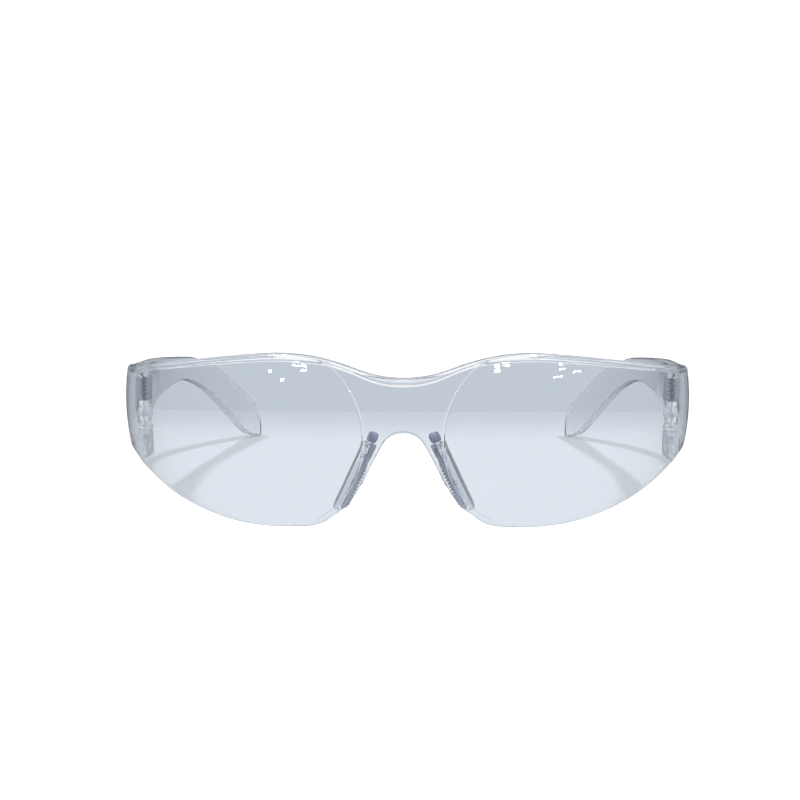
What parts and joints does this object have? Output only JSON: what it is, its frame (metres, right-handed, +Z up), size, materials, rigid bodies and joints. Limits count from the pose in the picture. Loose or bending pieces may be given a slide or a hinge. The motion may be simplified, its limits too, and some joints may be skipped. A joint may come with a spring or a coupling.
{
  "type": "safety glasses",
  "caption": "Clear wrap-around safety glasses with a one-piece lens, folding temples on screwed hinges and ribbed clip-in nose pads.",
  "frame": {"origin": "centre of the open glasses' footprint, at the level of the table they stand on", "axes": "+Z up; the front of the lens faces -Y and the temples point to +Y; +X is the wearer's left"},
  "size_m": [0.143, 0.1674, 0.0412],
  "materials": {
    "clear_lens": "polished clear, faint blue tint",
    "clear_temple": "moulded clear",
    "clear_pad": "moulded clear, ribbed",
    "screw_steel": "plain steel"
  },
  "bodies": {
    "front": {"lens": "clear_lens", "nose_pad_left": "clear_pad", "nose_pad_right": "clear_pad"},
    "left_arm": {"temple_left": "clear_temple", "hinge_screw_left": "screw_steel"},
    "right_arm": {"temple_right": "clear_temple", "hinge_screw_right": "screw_steel"}
  },
  "joints": [
    {"name": "fold_left", "type": "hinge", "parent": "front", "child": "left_arm", "pos_m": [0.0672, -0.03533, 0.025], "axis": [0, 0, 1], "range_deg": [0, 90]},
    {"name": "fold_right", "type": "hinge", "parent": "front", "child": "right_arm", "pos_m": [-0.0672, -0.03533, 0.025], "axis": [0, 0, -1], "range_deg": [0, 80]}
  ]
}
